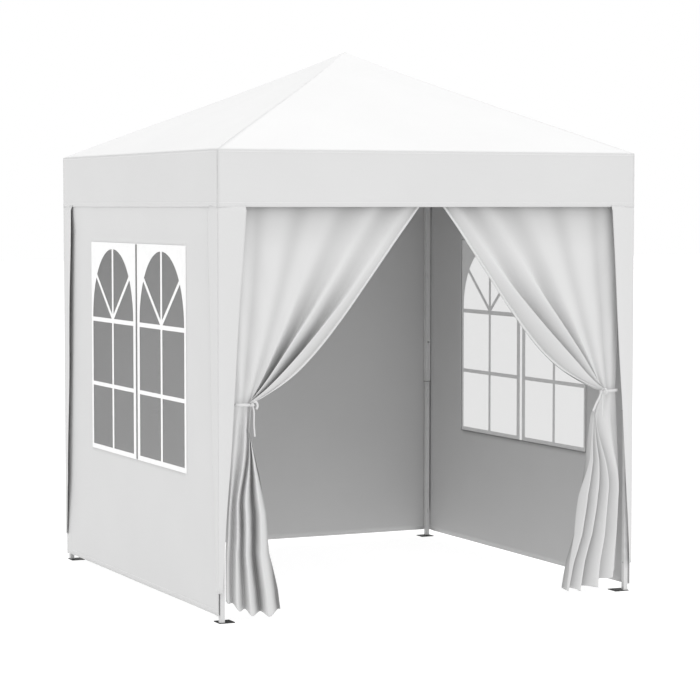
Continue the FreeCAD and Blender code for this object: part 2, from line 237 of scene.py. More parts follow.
def paint_fold_shade(material, darkest_painted):
    """Paints shade into a cloth's colour by the first value of its painted shade map; the second argument is
    what is left of its lightness at 1.
    """
    tree = material.node_tree
    shader = tree.nodes["Principled BSDF"]
    cloth_colour = shader.inputs["Base Color"].links[0].from_socket
    painted_shade_map = add_node(tree, "ShaderNodeUVMap", uv_map="fold").outputs["UV"]
    parts = add_node(tree, "ShaderNodeSeparateXYZ", [("Vector", painted_shade_map)])
    left = add_node(tree, "ShaderNodeMapRange", [("Value", parts.outputs["X"])], To_Min=1.0, To_Max=darkest_painted)
    darker = add_node(tree, "ShaderNodeVectorMath", [(0, cloth_colour)], operation="SCALE")
    tree.links.new(left.outputs["Result"], darker.inputs["Scale"])
    tree.links.new(darker.outputs["Vector"], shader.inputs["Base Color"])


# painted shade in the curtain's folds darkens its colour
paint_fold_shade(curtain_cloth, DARKEST_PAINTED_FOLD)

# %% [markdown]
# ### Window print, clear film and thread
# The windows are clear film with a white frame printed on it. The film lets most light through and carries
# a faint grey haze with small ripples; the print is nearly opaque and smooth, and a little glow stands in for
# the daylight that comes through it.

# %% Film, print and thread
PRINT_GLOW = 0.27


def object_pattern(tree, kind, **settings):
    """A texture on the piece's own coordinates; gives its value."""
    coords = add_node(tree, "ShaderNodeTexCoord").outputs["Object"]
    return add_node(tree, kind, [("Vector", coords)], **settings).outputs["Fac"]


window_print, tree, shader = new_finish("window_print", grey(0.66), 0.35, Alpha=0.8, Specular_IOR_Level=0.4)
ink = object_pattern(tree, "ShaderNodeTexNoise", Scale=30.0)
tree.links.new(tone(tree, ink, grey(0.65), grey(0.69)), shader.inputs["Base Color"])
shader.inputs["Emission Color"].default_value = (1, 1, 1, 1)
shader.inputs["Emission Strength"].default_value = PRINT_GLOW

clear_film, tree, shader = new_finish("clear_film", grey(0.12), 0.16, Alpha=0.24, Specular_IOR_Level=0.5)
raised(tree, shader, object_pattern(tree, "ShaderNodeTexNoise", Scale=7.0), 0.12, 0.01)
clear_film.surface_render_method = "BLENDED"
window_print.surface_render_method = "BLENDED"

thread, tree, shader = new_finish("white_thread", grey(0.9), 0.5, Sheen_Weight=0.2)
raised(tree, shader, object_pattern(tree, "ShaderNodeTexWave", Scale=900.0), 0.3, 0.0001)

# %% [markdown]
# ### Frame finishes
# Powder coat is smooth paint with a faint orange-peel texture, dulled where hands and sliders rub it. The
# feet are the same paint in black, scuffed by gravel. The sliders and brackets are moulded nylon with a fine
# grain, and the buttons are plated steel with turned marks.

# %% Frame finishes
PEEL_SCALE = 420.0
PEEL_RELIEF = 0.0004
RUBBED_ROUGHER = 0.2


def painted(name, value, worn, roughness, peel=0.15, scuff_scale=14.0):
    """Powder coat on steel: peel is the texture, worn the tone of rubbed places."""
    made, tree, shader = new_finish(name, grey(value), roughness, Coat_Weight=0.15, Coat_Roughness=0.3)
    scuffs = object_pattern(tree, "ShaderNodeTexNoise", Scale=scuff_scale, Detail=6.0)
    tree.links.new(tone(tree, scuffs, grey(worn), grey(value), 0.28, 0.5), shader.inputs["Base Color"])
    rough = add_node(
        tree, "ShaderNodeMapRange", [("Value", scuffs)], To_Min=roughness + RUBBED_ROUGHER, To_Max=roughness,
    )
    tree.links.new(rough.outputs["Result"], shader.inputs["Roughness"])
    raised(tree, shader, object_pattern(tree, "ShaderNodeTexNoise", Scale=PEEL_SCALE), peel, PEEL_RELIEF)
    return made


frame_paint = painted("frame_powder_coat", 0.60, 0.53, 0.42)
foot_paint = painted("foot_black_paint", 0.008, 0.02, 0.6, peel=0.35, scuff_scale=55.0)
nylon = painted("moulded_nylon", 0.12, 0.09, 0.5, peel=0.5, scuff_scale=30.0)

plated, tree, shader = new_finish("plated_steel", grey(0.6), 0.28, Metallic=1.0)
marks = object_pattern(tree, "ShaderNodeTexNoise", Scale=300.0)
shine = add_node(tree, "ShaderNodeMapRange", [("Value", marks)], To_Min=0.2, To_Max=0.42)
tree.links.new(shine.outputs["Result"], shader.inputs["Roughness"])

# the first start of a name that fits is the one used, so the latches come before the sliders
FRAME_FINISH = {
    "truss_": frame_paint, "arm_": frame_paint, "upper_leg_": frame_paint, "lower_leg_": frame_paint,
    "mast": frame_paint, "foot_": foot_paint, "slider_latch_": plated, "leg_button_": plated,
    "slider_": nylon, "connector_": nylon, "central_hub": nylon,
}
painted_count = 0
for node_name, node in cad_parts.items():
    start = next((key for key in FRAME_FINISH if node_name.startswith(key)), None)
    if start is not None:
        node.data.materials.clear()
        node.data.materials.append(FRAME_FINISH[start])
        painted_count += 1
print("finished", painted_count, "frame pieces")

# %% [markdown]
# ## How a sheet is made
# A cloth piece is a grid of points with a UV map in metres. Solidify gives it its thickness, and an inner
# face may take a second, darker finish: painted shade for the inside, which is lit less. The result is made a
# plain mesh straight away, so that what moves with the frame later is only points and faces.

# %% Sheet helpers
CLOTH = 0.0008


def evaluated_mesh(obj):
    """A new mesh as the object's modifiers or curve make it."""
    depsgraph = bpy.context.evaluated_depsgraph_get()
    return bpy.data.meshes.new_from_object(obj.evaluated_get(depsgraph), depsgraph=depsgraph)


def plain(obj):
    """Applies an object's modifiers: its evaluated mesh takes the place of its own."""
    mesh = evaluated_mesh(obj)
    obj.modifiers.clear()
    obj.data = mesh
    mesh.name = obj.name
    return obj


def curve_piece(temporary, name):
    """A piece with a curve object's evaluated mesh; the curve itself goes."""
    mesh = evaluated_mesh(temporary)
    curve = temporary.data
    bpy.data.objects.remove(temporary)
    bpy.data.curves.remove(curve)
    mesh.name = name
    made = bpy.data.objects.new(name, mesh)
    scene.collection.objects.link(made)
    return made


def mesh_object(name, verts, faces, finishes):
    """A new smooth-shaded mesh object at the origin."""
    mesh = bpy.data.meshes.new(name)
    mesh.from_pydata([tuple(v) for v in verts], [], faces)
    for finish in finishes:
        mesh.materials.append(finish)
    mesh.shade_smooth()
    obj = bpy.data.objects.new(name, mesh)
    scene.collection.objects.link(obj)
    return obj


def cloth_sheet(name, points, flat, outward, finish, inner_finish=None, thickness=CLOTH, keep=None, shade=None):
    """A sheet from a grid of points (rows x columns x 3). flat holds each point's place in the cloth, in
    metres; outward is the side that shows, keep says which quads stay, shade is each point's painted fold
    shade."""
    rows, columns = points.shape[:2]
    faces = []
    for j in range(rows - 1):
        for i in range(columns - 1):
            if keep is None or keep(j, i):
                a = j * columns + i
                faces.append((a, a + 1, a + columns + 1, a + columns))
    obj = mesh_object(name, points.reshape(-1, 3), faces, [finish, inner_finish or finish])
    mesh = obj.data
    layer = mesh.uv_layers.new(name="cloth")
    index = np.zeros(len(mesh.loops), int)
    mesh.loops.foreach_get("vertex_index", index)
    layer.data.foreach_set("uv", flat.reshape(-1, 2)[index].astype(np.float32).ravel())
    if shade is not None:
        # the painted fold shade goes in a UV map of its own
        fold = np.stack([shade.ravel(), 0 * shade.ravel()], -1)
        layer = mesh.uv_layers.new(name="fold")
        layer.data.foreach_set("uv", fold[index].astype(np.float32).ravel())
    facing = sum((Vector(p.normal) * p.area for p in mesh.polygons), Vector()).dot(Vector(outward))
    if facing < 0:
        mesh.flip_normals()
    thicken = obj.modifiers.new("thickness", "SOLIDIFY")
    thicken.thickness = thickness
    thicken.offset = -1.0
    # the inner face takes the darker finish, which is painted shade
    thicken.material_offset = 1 if inner_finish else 0
    return plain(obj)


def weld(obj, distance=0.0002):
    """Merges points that meet, as where a triangle's grid closes to its tip."""
    work = bmesh.new()
    work.from_mesh(obj.data)
    bmesh.ops.remove_doubles(work, verts=work.verts, dist=distance)
    work.to_mesh(obj.data)
    work.free()
    return obj


def quarter_turn(points, k):
    """Turns front-side points by k quarter turns about the upright axis."""
    turn = np.array(Matrix.Rotation(math.radians(90 * k), 3, "Z"))
    return points @ turn.T


def side_axis(k):
    """The direction along a side, and the outward direction of it."""
    along = Matrix.Rotation(math.radians(90 * k), 3, "Z") @ Vector((1, 0, 0))
    out = Matrix.Rotation(math.radians(90 * k), 3, "Z") @ Vector((0, -1, 0))
    return along, out


def ease(x):
    """A smooth step from 0 to 1."""
    x = np.clip(x, 0.0, 1.0)
    return x * x * (3 - 2 * x)


def ripple_field(u, v, seed, waves=6):
    """A smooth, repeatable field of long ripples, between about -1 and 1."""
    pick = np.random.default_rng(seed)
    total = np.zeros(np.broadcast(u, v).shape)
    for _ in range(waves):
        fu, fv = pick.uniform(0.6, 3.2, 2)
        total = total + np.sin(fu * u * 3.1 + fv * v * 3.1 * pick.choice((-1, 1)) + pick.uniform(0, 6.28))
    return total / waves


def goes_with(piece, body, along):
    """The piece rides on a body; given a direction, it also gets a mesh of its own."""
    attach(piece, body)
    if along is not None:
        tuple(along)
        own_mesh(piece)


# %% [markdown]
# ## Tube ends
# A thin dark moulded ring closes the lower end of each upper leg, where the lower leg slides out of it; its
# dark tone is painted shade, standing for the line of shade at the tube's end. It stands a little outside the
# upper tube and clear of the lower one.

# %% Tube end rings, dark as painted shade
RING_OUT = 0.0133
RING_IN = 0.0104
RING_HEIGHT = 0.0028
RING_GAP = 0.0001
tube_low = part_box("upper_leg_front_left")[0].z
for corner in CORNERS:
    centre = sum(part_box("lower_leg_" + corner), Vector()) / 2
    rim = []
    for z in (tube_low - RING_HEIGHT, tube_low - RING_GAP):
        for reach in (RING_OUT, RING_IN):
            for sx, sy in ((-1, -1), (1, -1), (1, 1), (-1, 1)):
                rim.append((centre.x + sx * reach, centre.y + sy * reach, z))
    faces = []
    for i in range(4):
        n = (i + 1) % 4
        faces += [(i, n, 8 + n, 8 + i), (4 + n, 4 + i, 12 + i, 12 + n)]
        faces += [(n, i, 4 + i, 4 + n), (8 + i, 8 + n, 12 + n, 12 + i)]
    # dark nylon: the ring stands for the line of shade at the tube's end, painted shade
    ring = mesh_object("tube_end_shade_ring_" + corner, rim, faces, [nylon])
    ring.data.shade_flat()
    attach(ring, "leg_" + corner)
print("tube end rings at", round(tube_low, 4))

# %% [markdown]
# ## Roof
# Four gores meet on the ridges and at the peak as one skin that hangs between the mast and the eaves. Cloth
# sags between the points that hold it, so the ridges dip by under a centimetre, nearer the peak than the
# eave, and each gore dips a little more in its middle. The dip is kept small so that a gore that has swung
# down with the frame stays behind the valance. Gores share their border lines, so no gap shows.

# %% Roof gores
PEAK_LEAN = np.array((0.036, -0.016))
RIDGE_SAG = 0.0075
GORE_SAG = 0.010
GORE_RIPPLE = 0.0025
PEAK_SIDE_ARCH = 27 / 4  # makes v * v * (1 - v) reach 1
for k, side in enumerate(SIDES):
    columns, rows = 73, 61
    u = np.linspace(-1, 1, columns)[None, :]
    v = np.linspace(0, 1, rows)[:, None]
    spread = (1 - v) * np.ones_like(u)
    points = np.zeros((rows, columns, 3))
    points[..., 0] = half * u * spread
    points[..., 1] = -half * spread
    points[..., 2] = eave + (peak - eave) * v
    arch = PEAK_SIDE_ARCH * v ** 2 * (1 - v)
    inside = (1 - u ** 2) * ease(v * 1.6) * ease((1 - v) * 3)
    points[..., 2] -= RIDGE_SAG * arch + GORE_SAG * inside * (1 - v)
    points[..., 2] += GORE_RIPPLE * inside * ripple_field(u * 2, v * 2, 11 + k)
    points = quarter_turn(points, k)
    points[..., :2] += PEAK_LEAN * (ease(v) + v)[..., None] / 2
    slant = math.hypot(half, peak - eave)
    flat = np.stack([half * u * spread, slant * v * np.ones_like(u)], -1)
    along, out = side_axis(k)
    gore = cloth_sheet("roof_gore_" + side, points, flat, out + Vector((0, 0, 2)), roof_cloth, inner_shade_cloth)
    weld(gore)
    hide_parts("roof_" + side)
    goes_with(gore, "roof_" + side, along)
print("gores of", round(2 * half, 3), "x", round(slant, 3), "m")

# %% [markdown]
# ## Valance
# The band round the eaves hangs straight from the roof's edge. It is one strip per side, a touch slack, with
# a turned hem along the bottom. The hem is a second layer, so it stands a little further out.

# %% Valance
VALANCE_DROP = 0.237
HEM = 0.022
HEM_STEP = 0.0006
BILLOW = 0.002
valance_low = eave - VALANCE_DROP
for k, side in enumerate(SIDES):
    columns, rows = 121, 31
    u = np.linspace(-1, 1, columns)[None, :]
    v = np.linspace(0, 1, rows)[:, None]
    points = np.zeros((rows, columns, 3))
    points[..., 0] = half * u
    slack = (1 - u ** 8) * ease(v * 1.5)
    billow = BILLOW * slack * ripple_field(u * 3, v * 0.8, 31 + k)
    hem = HEM_STEP * (v * VALANCE_DROP > VALANCE_DROP - HEM)
    points[..., 1] = -half - billow - hem
    points[..., 2] = eave - VALANCE_DROP * v
    points = quarter_turn(points, k)
    flat = np.stack([half * u + 0 * v, VALANCE_DROP * v + 0 * u], -1)
    along, out = side_axis(k)
    band = cloth_sheet("valance_" + side, points, flat, out, valance_cloth, inner_shade_cloth)
    goes_with(band, "frame_" + side, along)
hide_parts("valance")
print("valance bottom at", round(valance_low, 4))

# %% [markdown]
# ## Leg covers
# A long tapered tail of cloth hangs from each corner of the valance and wraps the leg: wide under the
# valance, narrow near the foot. Its free edges stand off the walls a little, so a dark line of shade
# shows beside them. Each is one sheet folded round the corner.

# %% Leg covers
COVER_FOOT = 0.128
WIDE_WING = ((1.726, 0.142), (0.4, 0.070), (0.128, 0.028))
# each corner's wing on its own side, then its wing on the side before it, as (height, width)
COVER_SHAPES = {
    "front_left": (
        ((1.726, 0.126), (1.34, 0.096), (0.91, 0.067), (0.66, 0.052), (0.45, 0.035), (0.128, 0.016)),
        ((1.726, 0.084), (0.4, 0.034), (0.128, 0.014)),
    ),
    "front_right": (
        WIDE_WING,
        ((1.726, 0.119), (1.35, 0.096), (1.04, 0.075), (0.73, 0.053), (0.33, 0.022), (0.128, 0.012)),
    ),
    "back_right": (WIDE_WING, WIDE_WING),
    "back_left": (WIDE_WING, WIDE_WING),
}
FLARE = 0.011
FULL_FLARE_WIDTH = 0.06
COVER_WAVE = 0.0015
COVER_TUCK = 0.012


def wing_width(shape, z):
    """How wide a wing is at a height."""
    heights, widths = zip(*shape)
    return np.interp(z, heights[::-1], widths[::-1])


for k, corner in enumerate(CORNERS):
    rows, wing_columns = 61, 13
    z = np.linspace(valance_low + COVER_TUCK, COVER_FOOT, rows)
    hang = ease((valance_low - z + 0.004) / 0.02)
    grid, flat_grid = [], []
    for row in range(rows):
        wings = []
        # the wing on this corner's own side, then the wing on the side before it
        for shape, on_side in zip(COVER_SHAPES[corner], (1, -1)):
            width = wing_width(shape, z[row])
            share = np.linspace(1, 0, wing_columns)
            lift = FLARE * hang[row] * share ** 2 * min(1.0, width / FULL_FLARE_WIDTH)
            wave = COVER_WAVE * math.sin(9 * z[row] + k) * share * hang[row]
            run = -half + width * share
            face = -half - lift - wave + 0.0007 * (1 - hang[row])
            level = np.full(wing_columns, z[row])
            if on_side > 0:
                wings.append((np.stack([run, face, level], -1), -width * share))
            else:
                wings.append((np.stack([face, run, level], -1)[::-1], (width * share)[::-1]))
        line = np.concatenate([wings[0][0][:-1], wings[1][0]])
        cut_line = np.concatenate([wings[0][1][:-1], wings[1][1]])
        grid.append(line)
        flat_grid.append(np.stack([cut_line, np.full(len(cut_line), z[row])], -1))
    points = quarter_turn(np.array(grid), k)
    along, out = side_axis(k)
    back_out = side_axis(k + 3)[1]
    flat = np.array(flat_grid)
    cover = cloth_sheet("leg_cover_" + corner, points, flat, out + back_out, valance_cloth, inner_shade_cloth)
    goes_with(cover, "leg_" + corner, None)
    both_wings = sum(wing_width(shape, z) for shape in COVER_SHAPES[corner])
    cut_area = float(both_wings.mean() * (z[0] - z[-1]))
    print("leg cover", corner, "of", round(cut_area, 4), "m2")

# %% [markdown]
# ## Walls
# Three wall panels hang inside the legs' outer faces from the eaves to just above the ground. The cloth is a
# grid whose quads are left out where the window block goes, which is simpler and cleaner than cutting. The
# panels bow inwards a little between the legs.

# %% Wall panels
WINDOW_Z = (0.591, 1.557)
WINDOW_SIDE = 0.611
wall_low, wall_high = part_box("wall_left")
wall_half = wall_high.y
wall_face = half - 0.0032
WALL_BOW = 0.007
WALL_RIPPLE = 0.0016
WALL_STEP = 0.025


def wall_depth(along, z):
    """How far inside the wall's hanging line its cloth lies."""
    between_legs = ease((wall_half - np.abs(along)) / 0.07)
    below_truss = ease((1.72 - z) / 0.12)
    return WALL_BOW * between_legs * below_truss


def stops(low, high, marks, step):
    """Grid lines from low to high that include the marks, about a step apart."""
    lines = [low]
    for mark in [*sorted(marks), high]:
        pieces = max(1, round((mark - lines[-1]) / step))
        lines.extend(np.linspace(lines[-1], mark, pieces + 1)[1:])
    return np.array(lines)


wall_areas = {}
for k, side in enumerate(SIDES):
    if side == "front":
        continue
    has_window = side != "back"
    marks_x = (-WINDOW_SIDE, WINDOW_SIDE) if has_window else ()
    marks_z = WINDOW_Z if has_window else ()
    xs = stops(-wall_half, wall_half, marks_x, WALL_STEP)
    zs = stops(wall_low.z, wall_high.z, marks_z, WALL_STEP)
    u, v = xs[None, :], zs[:, None]
    edge_rest = ease((wall_half - np.abs(u)) / 0.1) * ease((wall_high.z - 0.06 - v) / 0.2)
    waves = WALL_RIPPLE * edge_rest * ripple_field(u * 1.6, v * 1.6, 51 + k)
    if has_window:
        # the cloth lies still where the window is sewn in
        beside, below = np.abs(u) - WINDOW_SIDE - 0.01, WINDOW_Z[0] - 0.01 - v
        waves = 0.6 * waves * (ease(beside / 0.08) + ease(below / 0.1))
    points = np.zeros((len(zs), len(xs), 3))
    points[..., 0] = u
    points[..., 1] = -wall_face + wall_depth(u, v) + waves
    points[..., 2] = v
    points = quarter_turn(points, k)
    flat = np.stack([u + 0 * v, v + 0 * u], -1)

    def whole(j, i, xs=xs, zs=zs, has_window=has_window):
        """True for a quad outside the window block."""
        x_mid, z_mid = (xs[i] + xs[i + 1]) / 2, (zs[j] + zs[j + 1]) / 2
        return not (has_window and abs(x_mid) < WINDOW_SIDE and WINDOW_Z[0] < z_mid < WINDOW_Z[1])

    along, out = side_axis(k)
    panel = cloth_sheet("wall_panel_" + side, points, flat, out, wall_cloth, inner_shade_cloth, keep=whole)
    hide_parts("wall_" + side)
    goes_with(panel, "frame_" + side, along)
    opening = 2 * WINDOW_SIDE * (WINDOW_Z[1] - WINDOW_Z[0]) if has_window else 0.0
    wall_areas[side] = 2 * wall_half * (wall_high.z - wall_low.z) - opening
    print("wall", side, "cloth", round(wall_areas[side], 3), "m2")

# %% [markdown]
# ### Windows
# Each window is a pair of arched lights with a fan of three bars over a springing bar, and one cross bar
# below. The print is drawn as closed outlines on a flat curve filled between them, which Blender turns into a
# clean face with holes. Sizes follow one rule, so both lights of a pair come from one function.

# %% Window outlines
BAR = 0.018
UPRIGHT_BAR = 0.021
FAN_BAR = 0.019
LIGHT_HALF = 0.2765
LIGHT_MIDDLE = 0.3175
ARCH_RISE = 0.318
SPRING_Z = 1.2130
CROSS_Z = 0.896
LIGHT_LOW = 0.609
FAN_ANGLE = math.radians(49.5)
STAND_UP = Matrix(((1, 0, 0, 0), (0, 0, -1, 0), (0, 1, 0, 0), (0, 0, 0, 1)))


def oblong(near, far, low, high):
    """A rectangle's corners in order."""
    return [(near, low), (far, low), (far, high), (near, high)]


def arch_edge(angle):
    """The point of the arch, which is half an oval, on a line from the fan's hub at an angle from upright."""
    turn = math.atan2(math.sin(angle) / LIGHT_HALF, math.cos(angle) / ARCH_RISE)
    return (LIGHT_HALF * math.sin(turn), SPRING_Z + ARCH_RISE * math.cos(turn))


def light_outlines():
    """The panes of one light, as lists of (x, z) points about the light's own middle."""
    bar, upright = BAR / 2, UPRIGHT_BAR / 2
    panes = []
    for low, high in ((LIGHT_LOW, CROSS_Z - bar), (CROSS_Z + bar, SPRING_Z - 0.024)):
        for hand in (-1, 1):
            near, far = hand * upright, hand * LIGHT_HALF
            panes.append(oblong(near, far, low, high))
    base = SPRING_Z - 0.004
    slant = FAN_BAR / 2
    reach = math.hypot(LIGHT_HALF, ARCH_RISE) / math.sqrt(2)
    half_angle = slant / reach
    across = slant / math.cos(FAN_ANGLE)
    for hand in (-1, 1):
        # the fan's outer pane: from the light's side up the arch to the slanting bar
        arc = [arch_edge(hand * a) for a in np.linspace(FAN_ANGLE + half_angle, math.pi / 2, 13)]
        foot = (hand * across, base)
        panes.append([foot, *arc[:-1], (hand * LIGHT_HALF, base)])
        # the fan's inner pane: between the slanting bar and the upright one
        arc = [arch_edge(hand * a) for a in np.linspace(upright / ARCH_RISE, FAN_ANGLE - half_angle, 11)]
        hub_rise = (across + upright) / math.tan(FAN_ANGLE)
        panes.append([(hand * upright, base + hub_rise), *arc])
    return panes


def filled_outline(name, outlines, finish, thickness):
    """A flat filled curve in the XZ plane from closed outlines: first the border, then the holes."""
    curve = bpy.data.curves.new(name, "CURVE")
    curve.dimensions = "2D"
    curve.fill_mode = "BOTH"
    curve.extrude = thickness / 2
    for outline in outlines:
        spline = curve.splines.new("POLY")
        spline.points.add(len(outline) - 1)
        for point, (x, z) in zip(spline.points, outline):
            point.co = (x, z, 0, 1)
        spline.use_cyclic_u = True
    temporary = bpy.data.objects.new(name + "_curve", curve)
    scene.collection.objects.link(temporary)
    made = curve_piece(temporary, name)
    made.data.transform(STAND_UP)
    made.data.materials.clear()
    made.data.materials.append(finish)
    return made


# %% Windows on the left and right walls
PAIR_GAP = 0.022
LAP = 0.004
PRINT_THICKNESS = 0.0007
FILM_THICKNESS = 0.0003
PRINT_OUT = 0.0006
FILM_IN = 0.0016
window_face = -wall_face + WALL_BOW


def on_side(piece, y, k):
    """Moves a front-side piece to its depth and turns it to side k."""
    piece.data.transform(Matrix.Translation((0, y, 0)))
    piece.data.transform(Matrix.Rotation(math.radians(90 * k), 4, "Z"))
    return piece


for k, side in ((1, "right"), (3, "left")):
    prints = []
    for hand in (-1, 1):
        inner, outer = hand * PAIR_GAP / 2, hand * (WINDOW_SIDE + LAP)
        low_z, high_z = WINDOW_Z[0] - LAP, WINDOW_Z[1] + LAP
        border = oblong(inner, outer, low_z, high_z)
        holes = [[(x + hand * LIGHT_MIDDLE, z) for x, z in pane] for pane in light_outlines()]
        name = "window_frame_" + side + ("_a" if hand < 0 else "_b")
        light = filled_outline(name, [border, *holes], window_print, PRINT_THICKNESS)
        prints.append(on_side(light, window_face - PRINT_OUT, k))
    film = filled_outline(
        "window_film_" + side,
        [oblong(-outer, outer, low_z, high_z)],
        clear_film, FILM_THICKNESS,
    )
    on_side(film, window_face + FILM_IN, k)
    along, out = side_axis(k)
    for piece in (*prints, film):
        goes_with(piece, "frame_" + side, along)
    print("window", side, "frames", [len(p.data.polygons) for p in prints])

# %% [markdown]
# ## Door curtains
# Each curtain hangs from the eave, is drawn to its leg and tied, and falls free below the tie. The cloth is a
# grid of threads: every thread starts at the top, runs to the tie, and flares to the hem. Above the tie the
# threads near the door edge cross the opening and sag; near the leg they hang straight. A wide cloth drawn
# into a narrow neck falls in pleats, so a wave across the threads moves them in and out. A cloth simulation
# is another way to make such a drape. A rule was chosen here because each ridge can then be placed and every
# run gives the same folds. Its cost is that the surface keeps less cloth at the neck and the hem than a
# curtain that is cut straight has, so its flat width is only the modelled cloth's mean width.

# %% Curtain shape
TIE_Z = 0.912
CURTAIN_LINE = -0.974
DOOR_EDGE = 0.052
HEM_RIBBON = 0.013
HEM_PROUD = 0.0008
CURTAIN_THICKNESS = 0.0009
THREAD_SAG = 0.088
TOP_TUCK = 0.004
WRINKLE = 0.0016
# outline below the tie as (height, leg-side x, door-side x), x measured in from the middle of the door
LEFT_FALL = (
    (0.912, 0.918, 0.846), (0.80, 0.927, 0.850), (0.72, 0.934, 0.832), (0.60, 0.942, 0.804),
    (0.45, 0.952, 0.775), (0.28, 0.958, 0.762), (0.12, 0.958, 0.722), (0.02, 0.955, 0.708),
)
RIGHT_FALL = (
    (0.912, 0.925, 0.853), (0.80, 0.932, 0.806), (0.70, 0.938, 0.793), (0.60, 0.943, 0.780),
    (0.45, 0.946, 0.740), (0.27, 0.938, 0.712), (0.15, 0.932, 0.672), (0.02, 0.925, 0.650),
)
# where the ridges of the pleats lie, as shares of the cloth's width from the leg to the door edge
RIDGES_UP = (-0.14, 0.06, 0.27, 0.50, 0.745, 0.925, 1.07)
RIDGES_LOW = {-1: (-0.16, 0.03, 0.25, 0.47, 0.80, 1.14), 1: (-0.20, 0.10, 0.40, 0.72, 0.965, 1.16)}


def pleat_phase(share, ridges):
    """A phase that is a whole turn at each ridge, so that uneven pleats share one wave."""
    return 2 * math.pi * np.interp(share, ridges, np.arange(len(ridges)))


def pleat_wave(phase, narrow):
    """A wave from -1 in a valley to 1 on a ridge; a narrow above 1 makes thin ridges and wide valleys."""
    return 2 * ((1 + np.cos(phase)) / 2) ** narrow - 1


def neck_share(share):
    """Where a thread crosses the neck: the leg's half of the cloth fills it, the rest meets at the door."""
    return 0.93 * (1 - (1 - np.minimum(share / 0.42, 1)) ** 1.7) + 0.07 * share


def curtain_grid(hand, fall, seed):
    """Points of one curtain and the painted shade of its folds there, hand -1 at the left leg and 1 at the
    right.
    """
    columns, rows_up, rows_low = 261, 100, 84
    share = np.linspace(0, 1, columns)[None, :]
    low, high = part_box("curtain_left" if hand < 0 else "curtain_right")
    x_leg = max(abs(low.x), abs(high.x))
    heights, legs, doors = (np.array(c) for c in zip(*fall))
    # above the tie: each thread runs from the top to the neck and sags on the way
    down = np.linspace(0, 1, rows_up)[:, None]
    x_top = x_leg + share * (DOOR_EDGE - x_leg)
    x_neck = legs[0] + neck_share(share) * (doors[0] - legs[0])
    sag = THREAD_SAG * share ** 1.4 * 4 * down * (1 - down) * (0.6 + 0.8 * down)
    x_up = x_top + (x_neck - x_top) * down
    z_top = high.z + TOP_TUCK
    z_up = z_top + (TIE_Z - z_top) * down - sag
    # below the tie: the neck opens into a flared fall with a wavy hem
    fallen = np.linspace(0, 1, rows_low + 1)[1:, None]
    low_phase = pleat_phase(share, RIDGES_LOW[hand])
    hem = 0.020 + 0.075 * (1 - share) ** 3 + 0.010 * share ** 6 - 0.007 * np.cos(low_phase)
    z_low = TIE_Z + (hem - TIE_Z) * fallen
    opened = ease((TIE_Z - z_low - 0.06) / 0.38)
    place = neck_share(share) * (1 - opened) + share * opened
    leg_x = np.interp(z_low, heights[::-1], legs[::-1])
    door_x = np.interp(z_low, heights[::-1], doors[::-1])
    x_low = leg_x + place * (door_x - leg_x)
    x = np.concatenate([x_up, x_low])
    z = np.concatenate([z_up, z_low])
    # pleats: soft by the leg, deep by the door edge, pressed together at the neck, broad below it
    wander = 0.18 * np.sin(3.1 * z + seed + 4 * share) + 0.10 * np.sin(7.3 * z - seed + 9 * share)
    up_phase = pleat_phase(share, RIDGES_UP) + wander
    low_phase = low_phase + 2.2 * wander[rows_up:] + 0.5 * np.sin(9 * z_low + 2 * seed) * opened
    by_door = ease((share - 0.45) / 0.25)
    narrow = 0.7 + 0.9 * by_door
    tie_down = ease((down - 0.72) / 0.28)
    up_depth = (0.006 + 0.024 * ease(down * 1.4)) * (1 - 0.55 * tie_down) * (0.2 + 0.8 * by_door)
    low_depth = 0.009 + (0.008 + 0.014 * ease((share - 0.2) / 0.3)) * opened + 0.002 * fallen
    beside_leg = ease(share / 0.10) * 0.85 + 0.15
    change = ease((TIE_Z - z_low) / 0.16)
    up_wave = up_depth * pleat_wave(up_phase[:rows_up], narrow)
    neck_wave = up_depth[-1:] * pleat_wave(up_phase[rows_up:], narrow)
    low_wave = (1 - change) * neck_wave + change * low_depth * pleat_wave(low_phase, 0.75)
    wave = np.concatenate([up_wave, low_wave]) * beside_leg
    # a ridge leans towards the leg, over the valley beside it
    lean = 0.75 * wave * np.concatenate([ease(down * 1.5) * by_door, 0.55 * change + 0 * share])
    x = x + lean
    z = z + 0.5 * lean * (z > TIE_Z)
    # small soft wrinkles across the threads
    wrinkle = np.sin(23 * z + 9 * share + seed) * np.sin(17 * share + 6 * z)
    y = CURTAIN_LINE - wave + WRINKLE * wrinkle * ease(share / 0.1)
    points = np.stack([hand * x, y, z], -1)
    return points, painted_fold_shade(up_phase, low_phase, share, down, change, opened, high.z - z)


